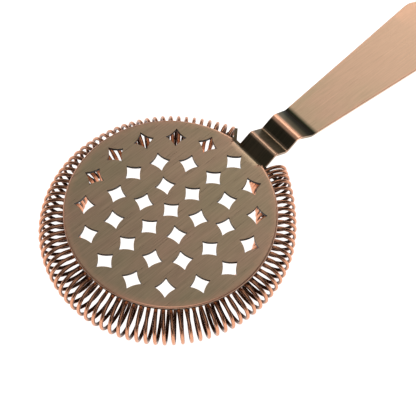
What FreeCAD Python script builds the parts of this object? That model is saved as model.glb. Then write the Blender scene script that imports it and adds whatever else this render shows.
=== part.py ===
import FreeCAD, Part
import math
import os

# Hawthorne strainer without prongs: one stamped sheet (perforated plate, zig-zag neck,
# flared handle, two spring fingers and a fin beside the coil's free end) and one coil
# spring that rings the underside.
# Millimetres. +X runs along the handle, +Z is up.
# The origin is the centre of the plate, on the plate's flat underside.

# --- driving dimensions -------------------------------------------------------------
PLATE_R = 37.5            # radius of the round plate
SHEET = 1.2               # sheet thickness
RIM_DROP = 0.4            # how far the turned rim hangs below the plate's underside
RIM_ROUND = 0.8           # radius of the turned rim's upper edge
RIM_WALL = 1.2            # wall of the turned rim

STAR_TIP = 3.75           # centre of a star hole to its tips
STAR_HOLLOW = 0.4         # how far each side of a star bows inwards
STAR_RINGS = ((1, 0.0), (6, 10.0), (12, 20.0), (16, 30.0))   # holes on a ring, its radius

NECK_W = 13.4             # width of the zig-zag neck
BEND_X = 36.05            # where the plate bends down into the neck
# Upper surface of the neck: (x, z, radius of the bend there)
NECK_BENDS = (
    (BEND_X, SHEET, 1.2),
    (38.2, -5.5, 1.3),
    (44.8, -1.35, 1.7),
    (51.0, -5.4, 0.35),
    (56.4, -1.75, 2.6),
    (63.9, -6.6, 2.6),
)
NECK_LAP = 4.0            # how far the neck's strip is drawn on into the plate
HANDLE_SLOPE = math.radians(2.1)   # the handle dips this much towards its end
FLARE_X = 56.0            # the sheet starts to flare here, from the neck's width
HANDLE_END_X = 144.0      # corners of the handle's end
HANDLE_END_W = 27.6       # width at the end of the flare
HANDLE_CORNER_R = 8.0     # rounding of the two end corners
HANDLE_CROWN = 2.5        # how far the end bows outwards

FLAT_HALF = 7.5           # half the straight edge where the plate meets the neck
BEND_RELIEF = 0.9         # the plate is sheared this far back where the neck bends down
RIM_GAP_HALF = 9.6        # half the gap in the turned rim around the neck
RIM_GAP_X = 30.0          # the gap is cut from here outwards
CUT = 20.0                # cutters reach this far above and below the plate
FIN_ROOT_X = 36.3         # middle of the fin where it leaves the neck's first wall
FIN_LENGTH = 6.7          # length of the fin
FIN_ANGLE = math.radians(43)       # direction of the fin, from the handle's axis
FIN_TOP = -0.2            # upper edge of the fin
FIN_BOTTOM = -1.8         # lower edge of the fin
FINGER_REACH = 7.0        # reach of each spring finger past the neck's side
FINGER_TOP = -5.0         # upper edge of a spring finger
FINGER_DEPTH = 1.1        # height of a spring finger
FINGER_X = 39.6           # middle of a spring finger's thickness

WIRE_R = 0.65             # spring wire
COIL_R = 6.75             # mean radius of one turn
RING_R = 38.3             # mean radius of the ring that the coil is bent into
RING_SHIFT = -0.85        # the ring sits this far from the plate's centre, away from the handle
RING_OVAL = 0.75          # how much the ring is drawn out along the handle's axis
RING_DEPTH = 9.1          # middle of the coil below the plate's underside
RING_TILT = 0.75          # the handle side hangs this much lower than the mean
RING_SAG = 0.4            # the two flanks hang this much lower than the mean
COIL_START = math.radians(15.4)    # end of the coil on the +Y side of the neck
OPEN_STEP = math.radians(3.935)    # angle around the plate from one open turn to the next
OPEN_TURNS = 83           # evenly spaced turns
CLOSED_STEP = math.radians(2.3)    # the same for the turns that lie side by side
CLOSED_TURNS = 3          # turns that lie side by side at the -Y end
# Both ends of the coil leave the ring outwards: (how far, over which angle)
FIRST_FLARE = (1.8, math.radians(28))
LAST_FLARE = (3.0, math.radians(33))
FLARE_LEAN = 0.5          # how far the turns lean with the flare, from upright to square
ARCS_PER_TURN = 8         # circular arcs that make one turn of the wire


# --- small helpers ------------------------------------------------------------------
def vec(x, y, z):
    return FreeCAD.Vector(x, y, z)


def polar(radius, angle, z=0.0):
    return vec(radius * math.cos(angle), radius * math.sin(angle), z)


def box(x0, x1, y0, y1, z0, z1):
    return Part.makeBox(x1 - x0, y1 - y0, z1 - z0, vec(x0, y0, z0))


def rounded_line(points):
    """Open wire through (x, z, radius) points with an arc of that radius at each inner point."""
    places = [vec(x, 0, z) for x, z, _ in points]
    edges = []
    start = places[0]
    for i in range(1, len(points) - 1):
        corner, radius = places[i], points[i][2]
        back = (places[i - 1] - corner).normalize()
        ahead = (places[i + 1] - corner).normalize()
        half = back.getAngle(ahead) / 2
        reach = radius / math.tan(half)
        entry, leave = corner + back * reach, corner + ahead * reach
        inward = (back + ahead).normalize()
        middle = corner + inward * (radius / math.sin(half) - radius)
        edges.append(Part.LineSegment(start, entry).toShape())
        edges.append(Part.Arc(entry, middle, leave).toShape())
        start = leave
    edges.append(Part.LineSegment(start, places[-1]).toShape())
    return Part.Wire(edges)


# --- stamped sheet ------------------------------------------------------------------
def plate_blank():
    """Round plate with a turned-down rim, as a solid of revolution."""
    inner = PLATE_R - RIM_WALL
    side_x = PLATE_R - RIM_ROUND
    bend = RIM_ROUND * math.sqrt(0.5)
    arc = Part.Arc(
        vec(side_x, 0, SHEET),
        vec(side_x + bend, 0, SHEET - RIM_ROUND + bend),
        vec(PLATE_R, 0, SHEET - RIM_ROUND),
    ).toShape()
    corners = [
        vec(PLATE_R, 0, SHEET - RIM_ROUND),
        vec(PLATE_R, 0, -RIM_DROP),
        vec(inner, 0, -RIM_DROP),
        vec(inner, 0, 0),
        vec(0, 0, 0),
        vec(0, 0, SHEET),
        vec(side_x, 0, SHEET),
    ]
    lines = [Part.LineSegment(a, b).toShape() for a, b in zip(corners, corners[1:])]
    profile = Part.Face(Part.Wire([arc] + lines))
    return profile.revolve(vec(0, 0, 0), vec(0, 0, 1), 360)


def star_prism(cx, cy, turn):
    """Cutter for one four-pointed star hole with bowed sides, one tip pointing along turn."""
    centre = vec(cx, cy, -CUT)
    waist = STAR_TIP / math.sqrt(2) - STAR_HOLLOW
    sides = []
    for k in range(4):
        tip = turn + k * math.pi / 2
        sides.append(Part.Arc(
            centre + polar(STAR_TIP, tip),
            centre + polar(waist, tip + math.pi / 4),
            centre + polar(STAR_TIP, tip + math.pi / 2),
        ).toShape())
    return Part.Face(Part.Wire(sides)).extrude(vec(0, 0, 2 * CUT))


def star_holes():
    cutters = []
    for count, radius in STAR_RINGS:
        for k in range(count):
            turn = 2 * math.pi * k / count
            cutters.append(star_prism(radius * math.cos(turn), radius * math.sin(turn), turn))
    return cutters


def strip_outline():
    """Upright prism over the plan of the neck and the flared handle."""
    half, far, start = NECK_W / 2, HANDLE_END_W / 2, BEND_X - NECK_LAP
    corners = [vec(*p, -CUT) for p in (
        (HANDLE_END_X, far), (FLARE_X, half), (start, half),
        (start, -half), (FLARE_X, -half), (HANDLE_END_X, -far))]
    crown = vec(HANDLE_END_X + HANDLE_CROWN, 0, -CUT)
    edges = [Part.LineSegment(a, b).toShape() for a, b in zip(corners, corners[1:])]
    edges.append(Part.Arc(corners[-1], crown, corners[0]).toShape())
    prism = Part.Face(Part.Wire(edges)).extrude(vec(0, 0, 2 * CUT))
    ends = [e for e in prism.Edges
            if e.BoundBox.ZLength > CUT and e.BoundBox.XMin > HANDLE_END_X - 1]
    return prism.makeFillet(HANDLE_CORNER_R, ends)


def neck_and_handle():
    """Sheet bent along the neck's zig-zag and on down the handle, trimmed to its plan."""
    root_x, root_z = NECK_BENDS[-1][0], NECK_BENDS[-1][1]
    end_x = HANDLE_END_X + HANDLE_CORNER_R
    end_z = root_z - (end_x - root_x) * math.tan(HANDLE_SLOPE)
    line = ((BEND_X - NECK_LAP, SHEET, 0),) + NECK_BENDS + ((end_x, end_z, 0),)
    section = rounded_line(line).makeOffset2D(-SHEET, 2, True, True)
    sheet = section.extrude(vec(0, 2 * HANDLE_END_W, 0))
    sheet.translate(vec(0, -HANDLE_END_W, 0))
    return sheet.common(strip_outline())


def spring_fin():
    """Fin on the +Y side of the neck, beside the coil's free end."""
    fin = box(0, FIN_LENGTH, -SHEET / 2, SHEET / 2, FIN_BOTTOM, FIN_TOP)
    fin.rotate(vec(0, 0, 0), vec(0, 0, 1), math.degrees(FIN_ANGLE))
    fin.translate(vec(FIN_ROOT_X, NECK_W / 2 - SHEET / 2, 0))
    return fin


def spring_finger(side):
    """Flat finger that reaches from one side of the neck into the coil's end."""
    root, tip = side * (NECK_W / 2 - SHEET / 2), side * (NECK_W / 2 + FINGER_REACH)
    return box(FINGER_X - SHEET / 2, FINGER_X + SHEET / 2, min(root, tip), max(root, tip),
               FINGER_TOP - FINGER_DEPTH, FINGER_TOP)


def strainer_body():
    plate = plate_blank()
    beyond, half = PLATE_R + 1, NECK_W / 2
    flat_cut = box(BEND_X, beyond, -FLAT_HALF, FLAT_HALF, -CUT, CUT)
    bend_cut = box(BEND_X - BEND_RELIEF, beyond, -half, half, -CUT, CUT)
    rim_gap = box(RIM_GAP_X, beyond, -RIM_GAP_HALF, RIM_GAP_HALF, -CUT, 0)
    plate = plate.cut([flat_cut, bend_cut, rim_gap]).cut(star_holes())
    body = plate.fuse([neck_and_handle(), spring_fin(), spring_finger(1), spring_finger(-1)])
    solid, = body.removeSplitter().Solids
    return solid


# --- coil spring --------------------------------------------------------------------
def flare(theta):
    """How far the ring is bent outwards near the coil's ends, and how fast that changes."""
    last = COIL_START + OPEN_TURNS * OPEN_STEP + CLOSED_TURNS * CLOSED_STEP
    first = max(1 - (theta - COIL_START) / FIRST_FLARE[1], 0)
    final = max(1 - (last - theta) / LAST_FLARE[1], 0)
    reach = FIRST_FLARE[0] * first ** 2 + LAST_FLARE[0] * final ** 2
    rate = 2 * (LAST_FLARE[0] * final / LAST_FLARE[1] - FIRST_FLARE[0] * first / FIRST_FLARE[1])
    return reach, rate


def wire_point(turn):
    """Middle of the wire after a number of turns, open ones first and then the close ones."""
    close = max(turn - OPEN_TURNS, 0)
    theta = COIL_START + (turn - close) * OPEN_STEP + close * CLOSED_STEP
    reach, rate = flare(theta)
    radius = RING_R + RING_SHIFT * math.cos(theta) + RING_OVAL * math.cos(2 * theta) + reach
    depth = RING_DEPTH + RING_TILT * math.cos(theta) - RING_SAG * math.cos(2 * theta)
    outward = polar(1, theta - FLARE_LEAN * math.atan2(rate, radius))
    swing = math.pi * (1 - 2 * turn)
    spoke = outward * math.cos(swing) + vec(0, 0, 1) * math.sin(swing)
    return polar(radius, theta, -depth) + spoke * COIL_R


def wire_tangent(turn):
    step = 1e-4
    return (wire_point(turn + step) - wire_point(turn - step)).normalize()


def arc_centre(p, t, q):
    """Centre and axis of the circle that leaves p along t and passes through q."""
    chord = q - p
    axis = t.cross(chord).normalize()
    normal = axis.cross(t).normalize()
    radius = chord.dot(chord) / (2 * chord.dot(normal))
    return p + normal * radius, axis


def biarc_joint(p, tp, q, tq):
    """Point where two arcs meet that run from p along tp to q along tq with equal reach."""
    v = q - p
    both = tp + tq
    a = 2 * (1 - tp.dot(tq))
    b = 2 * v.dot(both)
    c = -v.dot(v)
    reach = (-b + math.sqrt(b * b - 4 * a * c)) / (2 * a) if a > 1e-9 else -c / b
    return (p + tp * reach + q - tq * reach) * 0.5


def sweep_arc(profile, p, t, q):
    """Swing the profile circle from p to q; returns the tube face and the new profile."""
    centre, axis = arc_centre(p, t, q)
    angle = math.degrees((p - centre).getAngle(q - centre))
    face = profile.revolve(centre, axis, angle)
    moved = profile.copy()
    moved.rotate(centre, axis, angle)
    out = FreeCAD.Rotation(axis, angle).multVec(t)
    return face, moved, out


def coil_spring():
    """Round wire along the bent helix, as a closed shell of torus patches."""
    total = OPEN_TURNS + CLOSED_TURNS
    steps = total * ARCS_PER_TURN // 2
    stations = [total * i / steps for i in range(steps + 1)]
    here, heading = wire_point(0), wire_tangent(0)
    profile = Part.makeCircle(WIRE_R, here, heading)
    faces = [Part.Face(Part.Wire(profile))]
    for turn in stations[1:]:
        there, arrival = wire_point(turn), wire_tangent(turn)
        joint = biarc_joint(here, heading, there, arrival)
        for target in (joint, there):
            face, profile, heading = sweep_arc(profile, here, heading, target)
            faces.append(face)
            here = target
    faces.append(Part.Face(Part.Wire(profile)))
    shell = Part.makeShell(faces)
    shell.sewShape()
    solid = Part.makeSolid(Part.Shell(shell.Faces))
    if solid.Volume < 0:
        solid.reverse()
    return solid


def main():
    os.makedirs("parts", exist_ok=True)
    parts = {"strainer_body": strainer_body(), "coil_spring": coil_spring()}
    for name, shape in parts.items():
        shape.exportStep("parts/%s.step" % name)
        bounds = shape.BoundBox
        print(name, shape.ShapeType, "solids", len(shape.Solids), "valid", shape.isValid(),
              "volume", round(shape.Volume, 1),
              "x %.2f..%.2f y %.2f..%.2f z %.2f..%.2f" % (
                  bounds.XMin, bounds.XMax, bounds.YMin, bounds.YMax, bounds.ZMin, bounds.ZMax))
    apart = parts["strainer_body"].common(parts["coil_spring"])
    print("overlap", round(apart.Volume, 4))


main()
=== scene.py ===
import bpy
import math
import numpy as np
from mathutils import Matrix, Vector
from mathutils.geometry import delaunay_2d_cdt


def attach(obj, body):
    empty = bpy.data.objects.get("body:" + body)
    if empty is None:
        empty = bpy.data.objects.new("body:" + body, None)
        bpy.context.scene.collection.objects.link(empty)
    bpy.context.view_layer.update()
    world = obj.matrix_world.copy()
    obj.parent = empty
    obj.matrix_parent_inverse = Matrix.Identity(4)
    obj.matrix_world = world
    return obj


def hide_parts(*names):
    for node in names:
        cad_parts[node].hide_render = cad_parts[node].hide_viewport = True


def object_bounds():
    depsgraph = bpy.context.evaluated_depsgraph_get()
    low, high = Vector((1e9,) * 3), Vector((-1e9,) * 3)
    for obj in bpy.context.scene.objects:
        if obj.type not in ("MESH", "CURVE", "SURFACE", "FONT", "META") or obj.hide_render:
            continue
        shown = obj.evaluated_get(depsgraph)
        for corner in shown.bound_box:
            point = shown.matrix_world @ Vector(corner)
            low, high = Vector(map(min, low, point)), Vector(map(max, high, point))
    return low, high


# Hawthorne strainer: a stamped, brushed antique-copper sheet and a long copper-wire coil.
# Lengths in the tables are millimetres in the CAD frame; every mesh is scaled to metres.

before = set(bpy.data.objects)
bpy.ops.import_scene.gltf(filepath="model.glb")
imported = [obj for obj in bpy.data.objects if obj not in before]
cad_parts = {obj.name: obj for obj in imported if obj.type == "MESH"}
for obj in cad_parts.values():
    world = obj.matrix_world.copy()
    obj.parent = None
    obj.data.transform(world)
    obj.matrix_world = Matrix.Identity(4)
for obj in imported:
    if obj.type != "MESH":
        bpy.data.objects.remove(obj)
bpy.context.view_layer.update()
MM = 0.001
UV_MM = 200.0             # millimetres of sheet in one unit of the brushing's UV map
UV_SHIFT = 0.25           # where the plate's centre lies on that map, both ways

# --- stamped sheet ------------------------------------------------------------------
SHEET = 1.2               # sheet thickness
PLATE_R = 37.5            # radius of the round plate
STAR_TIP = 3.75           # centre of a star hole to its tips
STAR_HOLLOW = 0.4         # how far each side of a star bows inwards
STAR_TIP_TRIM = 0.16      # the sides of a star stop this far from its tips,
STAR_TIP_HALF = 0.07      # which are blunted to this half width,
STAR_TIP_CUT = 0.06       # this much nearer to the centre
STAR_RINGS = ((1, 0.0), (6, 10.0), (12, 20.0), (16, 30.0))   # holes on a ring, its radius
BEND_X = 36.05            # where the plate bends down into the neck
NECK_HALF = 6.7           # half the neck's width
# upper surface of the neck: (x, z, radius of the bend there)
NECK_BENDS = (
    (36.05, 1.2, 1.2),
    (38.2, -5.5, 1.3),
    (44.8, -1.35, 1.7),
    (51.0, -5.4, 0.35),
    (56.4, -1.75, 2.6),
    (63.9, -6.6, 2.6),
)
HANDLE_SLOPE = math.radians(2.1)   # the handle dips this much towards its end
HANDLE_END_X = 144.0      # corners of the handle's end
HANDLE_SPARE = 10         # the bent line runs this far past them
FLARE_X = 56.0            # the sheet starts to flare here, from the neck's width
HANDLE_END_HALF = 13.8    # half the width at the end of the flare
HANDLE_CORNER_R = 8.0     # rounding of the two end corners
HANDLE_CROWN = 2.5        # how far the end bows outwards
HANDLE_CROWN_R = 30.0     # rounding of the bow's middle
FLAT_HALF = 7.5           # half the straight edge where the plate meets the neck
RIM_GAP_HALF = 9.6        # half the gap in the turned rim around the neck
RIM_GAP_RAMP = 0.3        # the rim starts over this length
SLIT = 0.1                # shear gap between the neck's side and the plate

RIM_ROUND, RIM_DEPTH, RIM_WALL, RIM_LIP = 0.8, 1.6, 1.2, 0.15   # turned rim: its edge, depth, wall and lip
PLAIN_ROUND, HOLE_ROUND, UNDER_ROUND = 0.22, 0.07, 0.1          # edges of the strip, the holes, the underside

RIM_POINTS = 400          # points round the rim
HANDLE_TIP_STEP = 0.7     # greatest spacing of points round the handle's end
STAR_STEP = 0.45          # the same along a star's sides
NECK_STEP, HANDLE_STEP = 1.0, 2.0   # the same down the neck and the handle
GRID_STEP = 1.5           # spacing of the extra points over the plate
GRID_TO_RIM, GRID_TO_BEND, GRID_TO_HOLE = 2.2, 1.2, 0.7   # how far they stay from its edges
ROW_POINTS, ROW_INSET = 9, 0.9      # extra points across the neck and the handle


def quarter(n, radius, inset, depth, start):
    """n + 1 rows of an edge profile round a quarter circle: (inset, depth, lean of the normal).
    The profile runs from the flat top (lean 0) down the wall (90) to the flat underside (180)."""
    rows = []
    for i in range(n + 1):
        a = math.radians(90 * i / n)
        if start == 0:      # flat top to wall
            rows.append((inset - radius * math.sin(a), depth + radius * (1 - math.cos(a)), 90 * i / n))
        elif start == 90:   # wall to flat bottom
            rows.append((inset + radius * (1 - math.cos(a)), depth + radius * math.sin(a), 90 + 90 * i / n))
        elif start == 180:  # flat bottom to inner wall
            rows.append((inset + radius * math.sin(a), depth - radius * (1 - math.cos(a)), 180 + 90 * i / n))
        else:               # inner wall back to the flat underside
            rows.append((inset + radius * (1 - math.cos(a)), depth - radius * math.sin(a), 270 - 90 * i / n))
    return rows


def flat_edge(top_round, under_round, first, step):
    """Profile of an edge with no rim; six rows on the underside make it as long as the rim's."""
    return (quarter(5, top_round, top_round, 0, 0) + quarter(2, under_round, 0, SHEET - under_round, 90)
            + [(first + step * i, SHEET, 180) for i in range(6)])


RIM = (quarter(5, RIM_ROUND, RIM_ROUND, 0, 0) + quarter(2, RIM_LIP, 0, RIM_DEPTH - RIM_LIP, 90)
       + quarter(2, RIM_LIP, RIM_WALL - RIM_LIP, RIM_DEPTH, 180)
       + quarter(2, UNDER_ROUND, RIM_WALL, SHEET + UNDER_ROUND, 270))
ROUND_EDGE = flat_edge(RIM_ROUND, UNDER_ROUND, 0.3, 0.2)
HOLE_EDGE = flat_edge(HOLE_ROUND, HOLE_ROUND, 0.08, 0.02)
PLAIN = flat_edge(PLAIN_ROUND, UNDER_ROUND, 0.13, 0.03)


def bent_line(points, arc_step):
    """Stations (s, x, z, slope) along a line with rounded corners; s is its developed length."""
    here = Vector((points[0][0], points[0][1]))
    s = here.x
    rows = []
    for i in range(1, len(points)):
        corner = Vector(points[i][:2])
        slope = math.atan2(corner.y - here.y, corner.x - here.x)
        rows.append((s, here.x, here.y, slope))
        if i == len(points) - 1:
            rows.append((s + (corner - here).length, corner.x, corner.y, slope))
            return rows
        after = Vector(points[i + 1][:2])
        turn = math.atan2(after.y - corner.y, after.x - corner.x) - slope
        radius = points[i][2]
        entry = corner - (corner - here).normalized() * radius * math.tan(abs(turn) / 2)
        s += (entry - here).length
        side = math.copysign(1, turn)
        centre = entry + Vector((-math.sin(slope), math.cos(slope))) * radius * side
        steps = max(2, math.ceil(abs(turn) / arc_step))
        for k in range(steps + 1):
            a = slope + turn * k / steps
            place = centre + Vector((math.sin(a), -math.cos(a))) * radius * side
            rows.append((s + radius * abs(turn) * k / steps, place.x, place.y, a))
        s += radius * abs(turn)
        here = place


HANDLE_ROOT_X, HANDLE_ROOT_Z = NECK_BENDS[-1][:2]
LINE_END_X = HANDLE_END_X + HANDLE_SPARE
LINE_END_Z = HANDLE_ROOT_Z - (LINE_END_X - HANDLE_ROOT_X) * math.tan(HANDLE_SLOPE)
LINE = bent_line(((0, SHEET, 0),) + NECK_BENDS + ((LINE_END_X, LINE_END_Z, 0),), math.radians(8))
LINE_S = np.array([row[0] for row in LINE])
LINE_XZA = np.array([row[1:] for row in LINE])
BEND_START = LINE[1][0]
# how the colour changes along the bends: (x, bright share: worn copper and painted highlight on the ridges,
# dark share: patina and painted shade on the faces and in the hollows, near black above 1); the sharp valley
# at 51 is left pale as a painted highlight
BEND_WEAR_AND_SHADING = np.array((
    (35.0, 0.0, 0.0), (35.9, 0.0, 0.2), (36.3, 0.0, 0.75), (38.2, 0.0, 0.82), (43.8, 0.0, 0.84),
    (44.4, 0.3, 0.2), (45.9, 0.3, 0.2), (46.4, 0.0, 0.80), (50.5, 0.0, 0.85), (50.9, 0.0, 0.0),
    (51.15, 0.0, 0.0), (51.4, 0.0, 0.88), (54.9, 0.0, 0.88), (55.6, 1.0, 0.0), (58.0, 1.0, 0.0),
    (58.8, 0.0, 0.8), (60.5, 0.0, 0.88), (61.4, 0.0, 1.0), (62.3, 0.0, 1.3), (64.7, 0.0, 1.3),
    (65.3, 0.0, 0.0)))


def on_plate(u, y):
    """Whether a place on the blank belongs to the flat plate, not to the bent neck and handle."""
    return u < BEND_START or (u < PLATE_R + 1 and abs(y) > NECK_HALF + SLIT / 4)


def wear_and_shading_at(u, y):
    """Bright and dark shares at a place on the blank: worn copper with painted highlight, and patina with
    painted shade.
    """
    if on_plate(u, y):
        return 0.0, 0.0
    x = float(np.interp(u, LINE_S, LINE_XZA[:, 0]))
    return tuple(float(np.interp(x, BEND_WEAR_AND_SHADING[:, 0], BEND_WEAR_AND_SHADING[:, k])) for k in (1, 2))


def developed(x):
    """Developed length where the bent line passes x, beyond the neck."""
    return float(np.interp(x, LINE_XZA[:, 0], LINE_S))


def place(u, y, depth, lean=0.0, out=(0.0, 0.0)):
    """Point and normal of the bent sheet, in mm, from its developed blank."""
    if on_plate(u, y):
        x, z, a = u, SHEET, 0.0
    else:
        x, z, a = (float(np.interp(u, LINE_S, LINE_XZA[:, k])) for k in range(3))
    up = Vector((-math.sin(a), 0, math.cos(a)))
    ahead = Vector((math.cos(a), 0, math.sin(a)))
    lean = math.radians(lean)
    normal = up * math.cos(lean) + (ahead * out[0] + Vector((0, out[1], 0))) * math.sin(lean)
    return Vector((x, y, z)) - up * depth, normal


def arc_points(cx, cy, radius, a0, a1, step):
    """Points along an arc, no further apart than step."""
    n = max(1, math.ceil(abs(a1 - a0) * radius / step))
    return [(cx + radius * math.cos(a0 + (a1 - a0) * i / n),
             cy + radius * math.sin(a0 + (a1 - a0) * i / n)) for i in range(n + 1)]


def fillet(points, radii, step):
    """Open polyline with rounded corners."""
    out = [points[0]]
    for i in range(1, len(points) - 1):
        p, c, q = (Vector(points[k]) for k in (i - 1, i, i + 1))
        a0 = math.atan2(*(c - p).yx)
        a1 = math.atan2(*(q - c).yx)
        turn = (a1 - a0 + math.pi) % (2 * math.pi) - math.pi
        radius = radii[i]
        if radius <= 0 or abs(turn) < 1e-4:
            out.append(tuple(c))
            continue
        entry = c - (c - p).normalized() * radius * math.tan(abs(turn) / 2)
        side = math.copysign(1, turn)
        centre = entry + Vector((-math.sin(a0), math.cos(a0))) * radius * side
        start = a0 - side * math.pi / 2
        out += arc_points(centre.x, centre.y, radius, start, start + turn, step)
    return out + [points[-1]]


def half_width(u):
    """Half the width of the neck and the handle at developed length u."""
    x = float(np.interp(u, LINE_S, LINE_XZA[:, 0]))
    flare = (HANDLE_END_HALF - NECK_HALF) / (HANDLE_END_X - FLARE_X)
    return NECK_HALF + flare * max(x - FLARE_X, 0)


def side_stations():
    """Developed stations down the neck and the handle, close together in the bends."""
    first, last = BEND_START, developed(HANDLE_END_X)
    marks = [s for s in LINE_S if first - 1e-6 <= s <= last - HANDLE_SPARE - HANDLE_STEP]
    rows = [marks[0]]
    for s in marks[1:]:
        gap = s - rows[-1]
        if gap < 1e-6:
            continue
        pieces = max(1, math.ceil(gap / NECK_STEP))
        rows += [rows[-1] + gap * (i + 1) / pieces for i in range(pieces)]
    while rows[-1] < last - HANDLE_SPARE:
        rows.append(rows[-1] + HANDLE_STEP)
    return rows


STATIONS = side_stations()


def outline():
    """The blank's outer edge, counter-clockwise: points and which profile each one has."""
    end_u = developed(HANDLE_END_X)
    side = [(s, half_width(s)) for s in STATIONS]
    tip = fillet([side[-1], (end_u, HANDLE_END_HALF), (end_u + HANDLE_CROWN, 0),
                  (end_u, -HANDLE_END_HALF), (side[-1][0], -side[-1][1])],
                 (0, HANDLE_CORNER_R, HANDLE_CROWN_R, HANDLE_CORNER_R, 0), HANDLE_TIP_STEP)
    points = [(s, -w) for s, w in side[1:]]
    points += [(x, -y) for x, y in tip[1:-1]]
    points += [(s, w) for s, w in reversed(side[1:])]
    kinds = [PLAIN] * len(points)
    inner, outer = NECK_HALF, NECK_HALF + SLIT
    tab = [(BEND_START, inner), (BEND_START - SLIT / 2, (inner + outer) / 2), (BEND_START, outer),
           (BEND_X, outer), (BEND_X, FLAT_HALF)]
    start = math.asin(FLAT_HALF / PLATE_R)
    gap = math.asin(RIM_GAP_HALF / PLATE_R)
    ramp = RIM_GAP_RAMP / PLATE_R
    ring = [start + (gap - start) * i / 3 for i in range(4)] + [gap + ramp]
    ring += [gap + ramp + (2 * math.pi - 2 * (gap + ramp)) * i / RIM_POINTS for i in range(1, RIM_POINTS)]
    ring += [2 * math.pi - a for a in reversed(ring[:5])]
    points += tab
    kinds += [PLAIN] * len(tab)
    for a in ring:
        points.append((PLATE_R * math.cos(a), PLATE_R * math.sin(a)))
        from_neck = min(a, 2 * math.pi - a) - ramp / 2
        kinds.append(PLAIN if from_neck < start else ROUND_EDGE if from_neck < gap else RIM)
    points += [(x, -y) for x, y in reversed(tab)]
    kinds += [PLAIN] * len(tab)
    return points, kinds


def star(cx, cy, turn):
    """Edge of one star hole, clockwise, so that the metal is on the left."""
    half = STAR_TIP / math.sqrt(2)
    bow = (half * half + STAR_HOLLOW * STAR_HOLLOW) / (2 * STAR_HOLLOW)   # radius of a bowed side
    far = half - STAR_HOLLOW + bow                                        # how far off its centre is
    reach = math.asin(half / bow)
    points = []
    for k in range(4):
        middle = turn + k * math.pi / 2 + math.pi / 4
        back = math.pi + middle
        side = arc_points(cx + far * math.cos(middle), cy + far * math.sin(middle), bow,
                          back + reach, back - reach, STAR_STEP)
        points += [p for p in side if min(math.dist(p, side[0]), math.dist(p, side[-1])) > STAR_TIP_TRIM]
        tip = middle + math.pi / 4
        for shift in (-STAR_TIP_HALF, 0, STAR_TIP_HALF):
            r = STAR_TIP - STAR_TIP_CUT - abs(shift) * 0.6
            points.append((cx + r * math.cos(tip) - shift * math.sin(tip),
                           cy + r * math.sin(tip) + shift * math.cos(tip)))
    return points[::-1]


def outward(points):
    """Unit normals that point away from the metal, and the mitre of each corner."""
    p = np.array(points)
    ahead = np.roll(p, -1, 0) - p
    ahead /= np.linalg.norm(ahead, axis=1)[:, None]
    back = np.roll(ahead, 1, 0)
    mean = ahead + back
    mean /= np.linalg.norm(mean, axis=1)[:, None]
    mitre = 1 / np.maximum((mean * ahead).sum(1), 0.45)
    return np.stack([mean[:, 1], -mean[:, 0]], 1), mitre


def inside(poly, pts):
    """Which points lie inside a closed polygon."""
    x, y = pts[:, 0], pts[:, 1]
    hit = np.zeros(len(pts), bool)
    for (x0, y0), (x1, y1) in zip(poly, np.roll(poly, -1, 0)):
        if y0 == y1:
            continue
        cross = (y0 > y) != (y1 > y)
        hit ^= cross & (x < (x1 - x0) * (y - y0) / (y1 - y0) + x0)
    return hit


def distance_to(loops, pts):
    """Least distance from each point to any loop's edges."""
    best = np.full(len(pts), 1e9)
    for loop in loops:
        a = np.array(loop)
        b = np.roll(a, -1, 0)
        for p, q in zip(a, b):
            d = q - p
            t = np.clip(((pts - p) @ d) / (d @ d), 0, 1)
            best = np.minimum(best, np.hypot(*(pts - p - t[:, None] * d).T))
    return best


def mesh_object(name, verts, faces, normals, attributes=(), blank=None):
    """Smooth mesh with given normals; blank holds each vertex's place on the flat sheet."""
    mesh = bpy.data.meshes.new(name)
    mesh.from_pydata([v * MM for v in verts], [], faces)
    mesh.polygons.foreach_set("use_smooth", [True] * len(mesh.polygons))
    for key, values in attributes:
        layer = mesh.attributes.new(key, "FLOAT", "POINT")
        layer.data.foreach_set("value", np.array(values, np.float32))
    uv = mesh.uv_layers.new(name="blank")
    corner = np.zeros(len(mesh.loops), np.int32)
    mesh.loops.foreach_get("vertex_index", corner)
    uv.data.foreach_set("uv", (np.array(blank) / UV_MM + UV_SHIFT)[corner].astype(np.float32).ravel())
    mesh.validate()
    mesh.normals_split_custom_set_from_vertices([n.normalized() for n in normals])
    obj = bpy.data.objects.new(name, mesh)
    bpy.context.scene.collection.objects.link(obj)
    return obj


class Vertices:
    """Vertices of the bent sheet, with what the colour needs to know about each, its painted highlight and
    shade included.
    """

    def __init__(self):
        self.points, self.normals, self.blank = [], [], []
        self.worn, self.wall, self.rubbed, self.patina_and_shade = [], [], [], []

    def add(self, point, normal, blank, worn, wall, patina_and_shade_scale):
        self.points.append(point)
        self.normals.append(normal)
        self.blank.append(blank)
        self.worn.append(worn)
        self.wall.append(wall)
        rubbed, patina_and_shade = wear_and_shading_at(*blank)
        self.rubbed.append(rubbed)
        self.patina_and_shade.append(patina_and_shade * patina_and_shade_scale)

    def layers(self):
        return ("worn", self.worn), ("wall", self.wall), ("rubbed", self.rubbed), ("patina_and_shade", self.patina_and_shade)


def add_edge_point(sheet_points, corner, out, mitre, profile, is_hole):
    """The rows of one edge point's profile, from the flat top to the flat underside."""
    u, y = corner
    ox, oy = out
    for inset, depth, lean in profile:
        point, normal = place_on(u, y, ox, oy, inset * mitre, depth, lean)
        slant = math.sin(math.radians(min(lean, 180)))
        worn = 0.0 if is_hole else 1.0 if 0 < lean < 90 else 0.35 if lean == 0 else 0.0
        # the walls of the holes and of the turned rim get near-black patina and painted shade
        wall = min(1.0, 1.5 * slant) if is_hole else 0.85 * slant ** 6 if profile is RIM else 0.0
        blank = (u - ox * inset * mitre, y - oy * inset * mitre)
        # the share of patina and painted shade is halved on the steep rows of an edge
        sheet_points.add(point, normal, blank, worn, wall, 1.0 if lean < 60 else 0.5)


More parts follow.
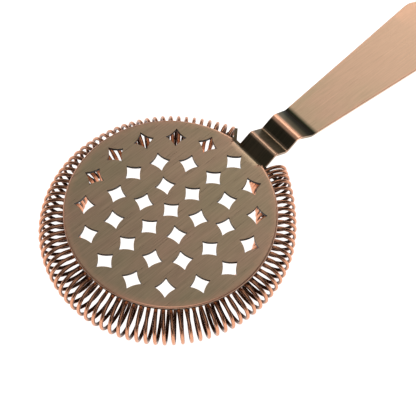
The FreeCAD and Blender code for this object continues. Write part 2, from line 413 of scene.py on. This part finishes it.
def plate_grid(holes):
    """Extra points over the flat plate, clear of its edges and holes."""
    gx, gy = np.meshgrid(np.arange(-36, 36, GRID_STEP), np.arange(-36, 36.1, GRID_STEP))
    stagger = GRID_STEP / 2 * (np.round(gy.ravel() / GRID_STEP) % 2)
    grid = np.stack([gx.ravel() + stagger, gy.ravel()], 1)
    grid = grid[np.hypot(*grid.T) < PLATE_R - GRID_TO_RIM]
    grid = grid[grid[:, 0] < BEND_START - GRID_TO_BEND]
    grid = grid[distance_to(holes, grid) > GRID_TO_HOLE]
    for hole in holes:
        grid = grid[~inside(hole, grid)]
    return [tuple(p) for p in grid]


def cross_rows(outer, first):
    """Rows of points across the neck and the handle, and the edges that the flat faces must keep;
    first is the number of the first such point."""
    points, edges = [], []
    for s in STATIONS[1:-3]:
        start = first + len(points)
        half = half_width(s) - ROW_INSET
        points += [(s, -half + 2 * half * i / (ROW_POINTS - 1)) for i in range(ROW_POINTS)]
        edges += [(start + i, start + i + 1) for i in range(ROW_POINTS - 1)]
        if s < HANDLE_ROOT_X + 3:      # in the bends the row joins the edge points at its station
            for end, sign in ((start, -1), (start + ROW_POINTS - 1, 1)):
                match = [i for i, (u, y) in enumerate(outer) if abs(u - s) < 1e-6 and y * sign > 0]
                edges += [(end, match[0])] if match else []
    return points, edges


def flat_triangles(points, edges, loops):
    """Triangles of the flat blank, as numbers of its points, with the holes left open."""
    _, _, tris, origin, _, _ = delaunay_2d_cdt([Vector(p) for p in points], edges, [], 0, 1e-7)
    tris = [[origin[v][0] for v in tri] for tri in tris]
    middles = np.array([np.mean([points[v] for v in tri], 0) for tri in tris])
    starts = np.cumsum([0] + [len(loop) for loop in loops])
    keep = inside(np.array(points[:starts[1]]), middles)
    for first, after in zip(starts[1:], starts[2:]):
        keep &= ~inside(np.array(points[first:after]), middles)
    kept = []
    for tri, wanted in zip(tris, keep):
        if wanted:
            a, b, c = (Vector(points[v]) for v in tri)
            kept.append(tri[::-1] if (b - a).cross(c - a) < 0 else tri)
    return kept


def build_sheet():
    outer, kinds = outline()
    loops, profiles = [outer], [kinds]
    for count, radius in STAR_RINGS:
        for k in range(count):
            turn = 2 * math.pi * k / count
            loops.append(star(radius * math.cos(turn), radius * math.sin(turn), turn))
            profiles.append([HOLE_EDGE] * len(loops[-1]))

    # rings of vertices round every edge
    vertices, faces = Vertices(), []
    flat_points, top_index, bottom_index, flat_edges = [], [], [], []
    levels = len(PLAIN)
    for number, (loop, loop_profiles) in enumerate(zip(loops, profiles)):
        out, mitre = outward(loop)
        n, first, start = len(loop), len(vertices.points), len(flat_points)
        for corner, away, m, profile in zip(loop, out, mitre, loop_profiles):
            add_edge_point(vertices, corner, away, m, profile, number > 0)
        for i in range(n):
            j = (i + 1) % n
            a, b = first + i * levels, first + j * levels
            for k in range(levels - 1):
                faces.append((a + k, a + k + 1, b + k + 1, b + k))
            inset = loop_profiles[i][0][0] * mitre[i]
            flat_points.append((loop[i][0] - out[i][0] * inset, loop[i][1] - out[i][1] * inset))
            top_index.append(a)
            bottom_index.append(a + levels - 1)
            flat_edges.append((start + i, start + j))

    # the flat faces, above and below, with extra points
    base = len(flat_points)
    flat_points += plate_grid([np.array(loop) for loop in loops[1:]])
    rows, row_edges = cross_rows(outer, len(flat_points))
    flat_points += rows
    for u, y in flat_points[base:]:
        for depth, index in ((0, top_index), (SHEET, bottom_index)):
            point, normal = place(u, y, depth)
            index.append(len(vertices.points))
            vertices.add(point, normal if depth == 0 else -normal, (u, y), 0.0, 0.0, 1.0)
    for tri in flat_triangles(flat_points, flat_edges + row_edges, loops):
        faces.append(tuple(top_index[v] for v in tri))
        faces.append(tuple(bottom_index[v] for v in reversed(tri)))
    return mesh_object("strainer_sheet", vertices.points, faces, vertices.normals, vertices.layers(),
                       vertices.blank)


def place_on(u, y, ox, oy, inset, depth, lean):
    """A point of an edge profile: moved into the metal by inset, on the flap its edge belongs to."""
    nu, ny = u - ox * inset, y - oy * inset
    if u < PLATE_R + 1 and abs(y) > NECK_HALF + SLIT / 4:   # the plate's flat part, whatever the inset
        lean = math.radians(lean)
        normal = Vector((ox * math.sin(lean), oy * math.sin(lean), math.cos(lean)))
        return Vector((nu, ny, SHEET - depth)), normal
    return place(nu, ny, depth, lean, (ox, oy))


sheet = build_sheet()
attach(sheet, "body")
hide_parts("strainer_body")


# --- fin and spring fingers ---------------------------------------------------------
EDGE = 0.15               # rounding of their edges
FIN_ROOT_X, FIN_LENGTH, FIN_ANGLE = 36.3, 6.7, math.radians(43)
FIN_TOP, FIN_BOTTOM = -0.2, -1.8
FINGER_REACH, FINGER_TOP, FINGER_DEPTH, FINGER_X = 7.0, -5.0, 1.1, 39.6
ROOT_Y = NECK_HALF - SHEET / 2
UP = Vector((0, 0, 1))
FLAT_WORN, FLAT_PATINA_AND_SHADE = 0.3, 0.85     # their colour: worn share of the flat faces, and a share of patina and painted shade all over, as they sit under the plate


def slab(name, outline_points, thickness, frame_matrix):
    """Bevelled flat piece: outline in the frame's x-y plane, thickness along its z."""
    out, mitre = outward(outline_points)
    profile = quarter(3, EDGE, EDGE, 0, 0) + quarter(3, EDGE, 0, thickness - EDGE, 90)
    n, levels = len(outline_points), len(profile)
    verts, normals, worn, faces, blank = [], [], [], [], []
    turn = frame_matrix.to_3x3()
    for (x, y), (ox, oy), m in zip(outline_points, out, mitre):
        for inset, depth, lean in profile:
            a = math.radians(lean)
            at = Vector((x - ox * inset * m, y - oy * inset * m, thickness / 2 - depth))
            verts.append(frame_matrix @ at)
            normals.append(turn @ Vector((ox * math.sin(a), oy * math.sin(a), math.cos(a))))
            worn.append(1.0 if 0 < lean < 90 else FLAT_WORN)
            blank.append((at.x, at.y))
    for i in range(n):
        j = (i + 1) % n
        for k in range(levels - 1):
            faces.append((i * levels + k, i * levels + k + 1, j * levels + k + 1, j * levels + k))
    faces.append(tuple(i * levels for i in range(n)))
    faces.append(tuple(i * levels + levels - 1 for i in reversed(range(n))))
    none = [0.0] * len(verts)
    layers = (("worn", worn), ("wall", none), ("rubbed", none), ("patina_and_shade", [FLAT_PATINA_AND_SHADE] * len(verts)))
    return mesh_object(name, verts, faces, normals, layers, blank)


def rounded_box(x0, x1, y0, y1, radius):
    """Rectangle with rounded corners; radius is that of the corners at x0 and of those at x1."""
    loop = fillet([(x0, (y0 + y1) / 2), (x0, y0), (x1, y0), (x1, y1), (x0, y1), (x0, (y0 + y1) / 2)],
                  (0, radius[0], radius[1], radius[1], radius[0], 0), 0.15)
    return loop[:-1]


def upright(along, root):
    """Frame of a flat piece that stands on edge: its x axis runs along, its y axis is up."""
    matrix = Matrix((along, UP, along.cross(UP))).transposed().to_4x4()
    matrix.translation = root
    return matrix


flat_pieces = [slab("spring_fin", rounded_box(0, FIN_LENGTH, FIN_BOTTOM, FIN_TOP, (0.2, 0.3)), SHEET,
                    upright(Vector((math.cos(FIN_ANGLE), math.sin(FIN_ANGLE), 0)),
                            Vector((FIN_ROOT_X, ROOT_Y, 0))))]
for side, label in ((1, "left"), (-1, "right")):
    flat_pieces.append(slab(
        "finger_" + label,
        rounded_box(0, NECK_HALF + FINGER_REACH - ROOT_Y, FINGER_TOP - FINGER_DEPTH, FINGER_TOP, (0.2, 0.6)),
        SHEET, upright(Vector((0, side, 0)), Vector((FINGER_X, side * ROOT_Y, 0)))))
for piece in flat_pieces:
    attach(piece, "body")


# --- coil spring --------------------------------------------------------------------
WIRE_R, COIL_R = 0.647, 6.75         # wire, a hair thinner than the CAD's, and mean radius of a turn
RING_R, RING_SHIFT, RING_OVAL = 38.3, -0.85, 0.75    # the ring: mean radius, place along X, oval shape
RING_DEPTH, RING_TILT, RING_SAG = 9.1, 0.75, 0.4     # its mean depth, and how that changes round it
COIL_START, OPEN_STEP, CLOSED_STEP = (math.radians(a) for a in (15.4, 3.935, 2.3))
OPEN_TURNS, CLOSED_TURNS = 83, 3     # evenly spaced turns, and turns side by side at the -Y end
# both ends of the coil leave the ring outwards: (how far, over which angle)
FIRST_FLARE, LAST_FLARE = (1.8, math.radians(28)), (3.0, math.radians(33))
FLARE_LEAN = 0.5                     # how far the turns lean with the flare, from upright to square
WIRE_SIDES, WIRE_STEPS = 12, 44      # facets round the wire, and steps in one turn
CUT_ROUND = 0.12                     # rounding of the wire's cut ends
# share of worn copper and painted highlight on the wire: at a turn's top, how it grows to the turn's sides,
# and on its lower half, which is painted darker as shade; the inner side is painted darker too
HIGHLIGHT_SHARE_AT_TOP, HIGHLIGHT_SIDE_POWER, LOWER_HALF_SHADE_SCALE = 0.48, 0.8, 0.45
LOWER_FROM = -0.3                    # the lower half starts here, from -1 at a turn's bottom to 1 at its top


def flare(theta):
    """How far the ring is bent outwards near the coil's ends, and how fast that changes."""
    last = COIL_START + OPEN_TURNS * OPEN_STEP + CLOSED_TURNS * CLOSED_STEP
    first = max(1 - (theta - COIL_START) / FIRST_FLARE[1], 0)
    final = max(1 - (last - theta) / LAST_FLARE[1], 0)
    reach = FIRST_FLARE[0] * first ** 2 + LAST_FLARE[0] * final ** 2
    rate = 2 * (LAST_FLARE[0] * final / LAST_FLARE[1] - FIRST_FLARE[0] * first / FIRST_FLARE[1])
    return reach, rate


def wire_point(turn):
    """Middle of the wire after a number of turns, its direction from the turn's centre, and its swing."""
    close = max(turn - OPEN_TURNS, 0)
    theta = COIL_START + (turn - close) * OPEN_STEP + close * CLOSED_STEP
    reach, rate = flare(theta)
    radius = RING_R + RING_SHIFT * math.cos(theta) + RING_OVAL * math.cos(2 * theta) + reach
    depth = RING_DEPTH + RING_TILT * math.cos(theta) - RING_SAG * math.cos(2 * theta)
    swing = math.pi * (1 - 2 * turn)
    facing = theta - FLARE_LEAN * math.atan2(rate, radius)
    spoke = Vector((math.cos(facing) * math.cos(swing), math.sin(facing) * math.cos(swing), math.sin(swing)))
    middle = Vector((math.cos(theta) * radius, math.sin(theta) * radius, -depth))
    return middle + spoke * COIL_R, spoke


def rubbed_share(height, outer):
    """How bright the wire is, as worn copper and painted highlight, from its height in the turn and how far
    it faces outwards, -1 to 1; the top, the inner side and the lower half are painted darker as shade.
    """
    lower = LOWER_HALF_SHADE_SCALE if height < LOWER_FROM else 1.0
    level = HIGHLIGHT_SHARE_AT_TOP + (1 - HIGHLIGHT_SHARE_AT_TOP) * (1 - abs(height)) ** HIGHLIGHT_SIDE_POWER
    return level * (0.5 + 0.5 * outer) * lower


def wire_rings():
    """Cross sections down the wire: (middle, direction, spoke, radius, -1 or 1 on a cut end)."""
    rings = []
    for i in range((OPEN_TURNS + CLOSED_TURNS) * WIRE_STEPS + 1):
        turn = i / WIRE_STEPS
        middle, spoke = wire_point(turn)
        heading = (wire_point(turn + 1e-3)[0] - wire_point(turn - 1e-3)[0]).normalized()
        rings.append((middle, heading, spoke, WIRE_R, 0.0))
    (p0, h0, s0, _, _), (p1, h1, s1, _, _) = rings[0], rings[-1]
    rings[0] = (p0 + h0 * CUT_ROUND, h0, s0, WIRE_R, 0.0)
    rings[-1] = (p1 - h1 * CUT_ROUND, h1, s1, WIRE_R, 0.0)
    rings.insert(0, (p0, h0, s0, WIRE_R - CUT_ROUND, -1.0))
    rings.append((p1, h1, s1, WIRE_R - CUT_ROUND, 1.0))
    return rings


def build_wire():
    rings = wire_rings()
    verts, normals, faces, blank, rubbed = [], [], [], [], []
    for number, (middle, heading, spoke, radius, cap) in enumerate(rings):
        first = (spoke - heading * spoke.dot(heading)).normalized()
        second = heading.cross(first)
        for k in range(WIRE_SIDES):
            a = 2 * math.pi * k / WIRE_SIDES
            ray = first * math.cos(a) + second * math.sin(a)
            verts.append(middle + ray * radius)
            normals.append(ray * (1 - abs(cap)) + heading * cap)
            blank.append((number * 0.02, k * 0.25))
            rubbed.append(rubbed_share(spoke.z, math.cos(a)))
    for i in range(len(rings) - 1):
        for k in range(WIRE_SIDES):
            a, b = i * WIRE_SIDES + k, i * WIRE_SIDES + (k + 1) % WIRE_SIDES
            faces.append((a, b, b + WIRE_SIDES, a + WIRE_SIDES))
    last = (len(rings) - 1) * WIRE_SIDES
    faces.append(tuple(reversed(range(WIRE_SIDES))))
    faces.append(tuple(last + k for k in range(WIRE_SIDES)))
    return mesh_object("spring_wire", verts, faces, normals, (("rubbed", rubbed),), blank)


wire = build_wire()
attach(wire, "spring")
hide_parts("coil_spring")


# --- materials ----------------------------------------------------------------------
class Tree:
    """Short hand for building the nodes of a material or a world."""

    def __init__(self, owner, shader="Principled BSDF"):
        owner.use_nodes = True
        self.owner = owner
        self.nodes, self.links = owner.node_tree.nodes, owner.node_tree.links
        self.shader = self.nodes[shader]

    def add(self, kind, inputs=(), **settings):
        node = self.nodes.new("ShaderNode" + kind)
        for key, value in settings.items():
            setattr(node, key, value)
        for key, value in dict(inputs).items():
            self.set(node, key, value)
        return node

    def set(self, node, key, value):
        if isinstance(value, bpy.types.NodeSocket):
            self.links.new(value, node.inputs[key])
        else:
            node.inputs[key].default_value = value

    def noise(self, vector, scale, detail=2.0, rough=0.5):
        """Noise of 0 to 1 whose grain is scale, a triple of cells per unit of vector."""
        mapped = self.add("Mapping", {"Vector": vector, "Scale": scale})
        return self.add("TexNoise", {"Vector": mapped.outputs[0], "Scale": 1.0, "Detail": detail,
                                     "Roughness": rough}).outputs["Fac"]

    def ramp(self, value, low, high, to_low=0.0, to_high=1.0):
        """Straight change from to_low to to_high while value goes from low to high."""
        return self.add("MapRange", {"Value": value, "From Min": low, "From Max": high,
                                     "To Min": to_low, "To Max": to_high}, clamp=True).outputs[0]

    def mix(self, fac, a, b, how="MIX"):
        node = self.add("Mix", data_type="RGBA", blend_type=how)
        self.set(node, 0, fac)
        self.set(node, 6, a)
        self.set(node, 7, b)
        return node.outputs[2]

    def math(self, how, a, b=0.0):
        node = self.add("Math", operation=how)
        self.set(node, 0, a)
        self.set(node, 1, b)
        return node.outputs[0]


BRONZE = (0.48, 0.375, 0.245, 1)          # most of the sheet
COPPER_PINK = (0.57, 0.385, 0.27, 1)      # its redder patches
WORN_AND_HIGHLIGHT_COPPER = (0.88, 0.48, 0.32, 1)     # worn edges, and the painted highlight on the ridges
PATINA_AND_SHADE_TINT = (0.036, 0.043, 0.024, 1)         # patina and painted shade on the neck's faces and hollows, the fin and the fingers
DEEP_PATINA_AND_SHADE = (0.010, 0.007, 0.005, 1)      # near-black patina and painted shade on the cut walls of the holes and the rim, and in the deepest hollow
# the wire's copper, and the near black of its painted shade and of its fine grain
WIRE_COPPER = (0.70, 0.33, 0.195, 1)
WIRE_DARK = (0.085, 0.040, 0.024, 1)
# the handle's tint turns to copper between these places on the UV map
HANDLE_PINK = (UV_SHIFT + 70 / UV_MM, UV_SHIFT + 115 / UV_MM)


def sheet_material():
    t = Tree(bpy.data.materials.new("brushed_antique_copper"))
    uv = t.add("UVMap", uv_map="blank").outputs[0]
    worn, wall, rubbed, patina_and_shade = (t.add("Attribute", attribute_name=key).outputs["Fac"]
                                for key in ("worn", "wall", "rubbed", "patina_and_shade"))
    cloud = t.noise(uv, (7, 16, 1), 3.0)                 # patches of tint, drawn out along the brushing
    streak = t.noise(uv, (14, 420, 1), 3.0, 0.6)         # streaks half a millimetre wide
    hair = t.noise(uv, (26, 2000, 1), 2.0, 0.6)          # hairlines of a tenth of a millimetre
    along = t.add("SeparateXYZ", {0: uv}).outputs[0]
    pink = t.math("ADD", t.ramp(cloud, 0.35, 0.68), t.ramp(along, *HANDLE_PINK))
    tint = t.mix(t.ramp(pink, 0.0, 1.0), BRONZE, COPPER_PINK)
    tone = t.math("ADD", t.ramp(streak, 0.3, 0.7, 0.84, 1.08), t.ramp(hair, 0.3, 0.7, -0.10, 0.08))
    tint = t.mix(1.0, tint, t.add("CombineColor", {"Red": tone, "Green": tone, "Blue": tone}).outputs[0],
                 "MULTIPLY")
    patchy = t.math("MULTIPLY", worn, t.ramp(t.noise(uv, (30, 30, 1), 3.0), 0.3, 0.6, 0.65, 1.0))
    tint = t.mix(patchy, tint, WORN_AND_HIGHLIGHT_COPPER)
    # painted highlight on the ridges of the neck, with worn copper
    tint = t.mix(t.math("MULTIPLY", rubbed, t.ramp(streak, 0.3, 0.7, 0.8, 1.0)), tint, WORN_AND_HIGHLIGHT_COPPER)
    # patina and painted shade on the neck's faces, the fin and the fingers
    tint = t.mix(t.math("MULTIPLY", patina_and_shade, t.ramp(streak, 0.3, 0.7, 1.0, 0.94)), tint, PATINA_AND_SHADE_TINT)
    # painted shade: near black in the hollow at the handle's root, where the dark share passes 1
    tint = t.mix(t.ramp(patina_and_shade, 1.0, 1.3, 0.0, 0.85), tint, DEEP_PATINA_AND_SHADE)
    # painted shade, with patina, on the walls of the holes and the rim
    tint = t.mix(wall, tint, DEEP_PATINA_AND_SHADE)
    t.set(t.shader, "Base Color", tint)
    t.set(t.shader, "Metallic", 1.0)
    t.set(t.shader, "Roughness", t.ramp(streak, 0.3, 0.7, 0.27, 0.37))
    t.set(t.shader, "Anisotropic", 0.55)
    t.set(t.shader, "Tangent", t.add("Tangent", direction_type="UV_MAP", uv_map="blank").outputs[0])
    height = t.math("ADD", t.math("MULTIPLY", streak, 0.5), hair)
    bump = t.add("Bump", {"Height": height, "Strength": 0.12, "Distance": 0.00006})
    t.set(t.shader, "Normal", bump.outputs[0])
    return t.owner


def wire_material():
    t = Tree(bpy.data.materials.new("antique_copper_wire"))
    spot = t.add("TexCoord").outputs["Object"]
    rubbed = t.add("Attribute", attribute_name="rubbed").outputs["Fac"]
    patch = t.noise(spot, (220, 220, 220), 3.0)          # patches of wear, about 5 mm
    fine = t.noise(spot, (1500, 1500, 1500), 2.0)        # grain, under a millimetre
    share = t.math("ADD", rubbed, t.ramp(patch, 0.3, 0.7, -0.05, 0.05))
    # painted highlight and shade: the wire runs from near black to copper with its share of worn copper and
    # painted highlight
    tint = t.mix(t.ramp(share, 0.05, 0.75), WIRE_DARK, WIRE_COPPER)
    tint = t.mix(t.ramp(fine, 0.55, 0.8, 0.0, 0.06), tint, WIRE_DARK)
    t.set(t.shader, "Base Color", tint)
    t.set(t.shader, "Metallic", 1.0)
    t.set(t.shader, "Roughness", t.ramp(fine, 0.3, 0.7, 0.22, 0.32))
    bump = t.add("Bump", {"Height": fine, "Strength": 0.04, "Distance": 0.00003})
    t.set(t.shader, "Normal", bump.outputs[0])
    return t.owner


sheet_finish, wire_finish = sheet_material(), wire_material()
for obj in [o for o in bpy.context.scene.objects if o.type == "MESH"]:
    obj.data.materials.clear()
    obj.data.materials.append(wire_finish if obj.name in ("spring_wire", "coil_spring") else sheet_finish)


# --- floor, light and camera --------------------------------------------------------
def toward(azimuth, elevation):
    """Unit vector from the object toward a place in the studio, angles in degrees."""
    az, el = math.radians(azimuth), math.radians(elevation)
    return Vector((math.cos(el) * math.cos(az), math.cos(el) * math.sin(az), math.sin(el)))


FLOOR_REACH = 3.0                    # half the floor's side, in metres
FLOOR_LIT, FLOOR_FADED = 0.16, 0.75  # the floor's own light fades between these distances
FLOOR_NEAR, FLOOR_FAR = 1.0, 0.12    # from the first strength to the second
floor_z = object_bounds()[0][2]
floor_mesh = bpy.data.meshes.new("floor")
floor_mesh.from_pydata([(-FLOOR_REACH, -FLOOR_REACH, floor_z), (FLOOR_REACH, -FLOOR_REACH, floor_z),
                        (FLOOR_REACH, FLOOR_REACH, floor_z), (-FLOOR_REACH, FLOOR_REACH, floor_z)],
                       [], [(0, 1, 2, 3)])
floor = bpy.data.objects.new("floor", floor_mesh)
bpy.context.scene.collection.objects.link(floor)
f = Tree(bpy.data.materials.new("pale_floor"))
spot = f.add("TexCoord").outputs["Object"]
distance = f.add("VectorMath", {0: spot}, operation="LENGTH").outputs["Value"]
f.set(f.shader, "Base Color", (0.9, 0.9, 0.9, 1))
f.set(f.shader, "Roughness", 0.9)
f.set(f.shader, "Specular IOR Level", 0.0)
f.set(f.shader, "Emission Color", (1, 1, 1, 1))
f.set(f.shader, "Emission Strength", f.ramp(distance, FLOOR_LIT, FLOOR_FADED, FLOOR_NEAR, FLOOR_FAR))
floor_mesh.materials.append(f.owner)

# soft round lights in a dark studio, the first overhead: direction, radius of the full and of the
# fading part in degrees, strength, colour
GLOWS = (
    (toward(74, 78), 22, 48, 0.255, (1.0, 1.0, 0.97)),
    (toward(22, 26), 14, 26, 0.9, (1.0, 0.96, 0.92)),
    (toward(25, 41), 6, 15, 1.65, (1.0, 0.95, 0.90)),
    (toward(-130, 58), 12, 34, 0.8, (1.0, 0.98, 0.95)),
    (toward(98, 28), 5, 20, 0.55, (1.0, 0.97, 0.93)),
)
DARK_STUDIO = 0.035
world = bpy.data.worlds.new("studio")
bpy.context.scene.world = world
w = Tree(world, "Background")
sky = w.add("TexCoord").outputs["Generated"]    # the direction that is looked in
total = None
for direction, full, zero, strength, colour in GLOWS:
    along = w.add("VectorMath", {0: sky, 1: direction}, operation="DOT_PRODUCT").outputs["Value"]
    fade = w.add("MapRange", {"Value": along, "From Min": math.cos(math.radians(zero)),
                              "From Max": math.cos(math.radians(full)), "To Min": 0.0, "To Max": strength},
                 clamp=True, interpolation_type="SMOOTHSTEP").outputs[0]
    glow = w.add("VectorMath", {0: colour, "Scale": fade}, operation="SCALE").outputs[0]
    total = w.add("VectorMath", {0: total, 1: glow}, operation="ADD").outputs[0] if total else glow
total = w.add("VectorMath", {0: total, 1: (DARK_STUDIO,) * 3}, operation="ADD").outputs[0]
w.set(w.shader, "Color", total)
w.set(w.shader, "Strength", 1.0)

camera_data = bpy.data.cameras.new("camera")
camera = bpy.data.objects.new("camera", camera_data)
bpy.context.scene.collection.objects.link(camera)
bpy.context.scene.camera = camera
camera_data.lens, camera_data.sensor_width = 103.48, 36.0
camera_data.clip_start = 0.02
CAMERA_TARGET = Vector((10.489, -7.688, 0.6)) * MM
CAMERA_AZ, CAMERA_EL = -136.961, 60.512
CAMERA_ROLL = math.radians(-5.313)
CAMERA_AWAY = 0.41767                # distance from the target, in metres
back = toward(CAMERA_AZ, CAMERA_EL)
right = UP.cross(back).normalized()
upward = back.cross(right)
c, s = math.cos(CAMERA_ROLL), math.sin(CAMERA_ROLL)
axes = Matrix((right * c - upward * s, right * s + upward * c, back)).transposed().to_4x4()
camera.matrix_world = Matrix.Translation(CAMERA_TARGET + back * CAMERA_AWAY) @ axes

bpy.context.scene.view_settings.view_transform = "Standard"
